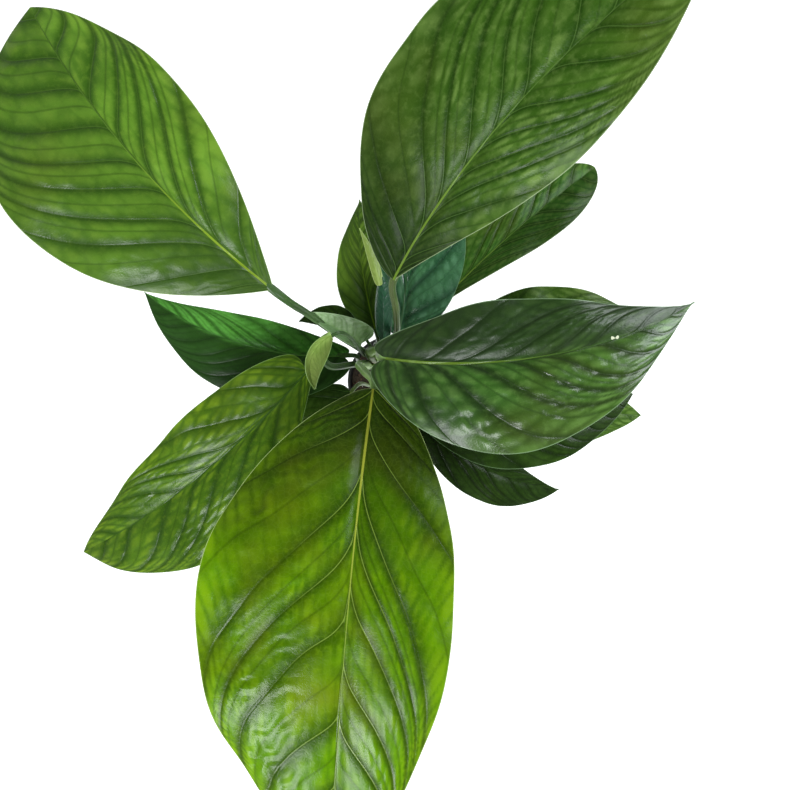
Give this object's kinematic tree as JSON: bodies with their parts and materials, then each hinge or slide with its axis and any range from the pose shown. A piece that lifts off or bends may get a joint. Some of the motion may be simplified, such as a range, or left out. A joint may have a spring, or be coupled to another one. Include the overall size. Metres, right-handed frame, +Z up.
{
  "type": "potted monstera pinnatipartita",
  "caption": "Young climbing aroid house plant with glossy, blistered, undivided green leaves on channelled petioles, rising from upright stems in a plain round nursery pot of soil.",
  "frame": {"origin": "middle of the pot's flat bottom, on the surface that the pot stands on", "axes": "+Z up out of the pot, +X to the right of the picture and +Y up the picture, which looks straight down on the plant"},
  "size_m": [0.5023, 0.506, 0.5576],
  "materials": {
    "pot": "smooth black moulded nursery plastic, slightly worn at the rim",
    "soil": "damp dark potting mix with bark and perlite",
    "stem": "smooth green stem with paler rings at the nodes",
    "leaf": "glossy, blistered deep green with paler veins",
    "fresh_leaf": "glossy, blistered yellow green with a pale rim and midrib",
    "young_leaf": "satin pale green, still rolled",
    "sheath": "dry olive brown with a light green rim"
  },
  "bodies": {
    "root": {"pot": "pot", "soil": "soil", "stem_main": "stem", "stem_second": "stem", "leaf_front": "fresh_leaf", "leaf_upper_right": "leaf", "leaf_upper_left": "leaf", "leaf_right": "leaf", "leaf_lower_left": "leaf", "leaf_left": "leaf", "leaf_back": "leaf", "leaf_back_right": "leaf", "leaf_centre_back": "leaf", "leaf_right_lower": "leaf", "leaf_lower_right": "leaf", "leaf_far_right": "leaf", "leaf_right_back": "leaf", "leaf_small_left": "leaf", "leaf_under_front": "leaf", "young_leaf": "young_leaf", "curled_sheath": "sheath"}
  },
  "joints": []
}
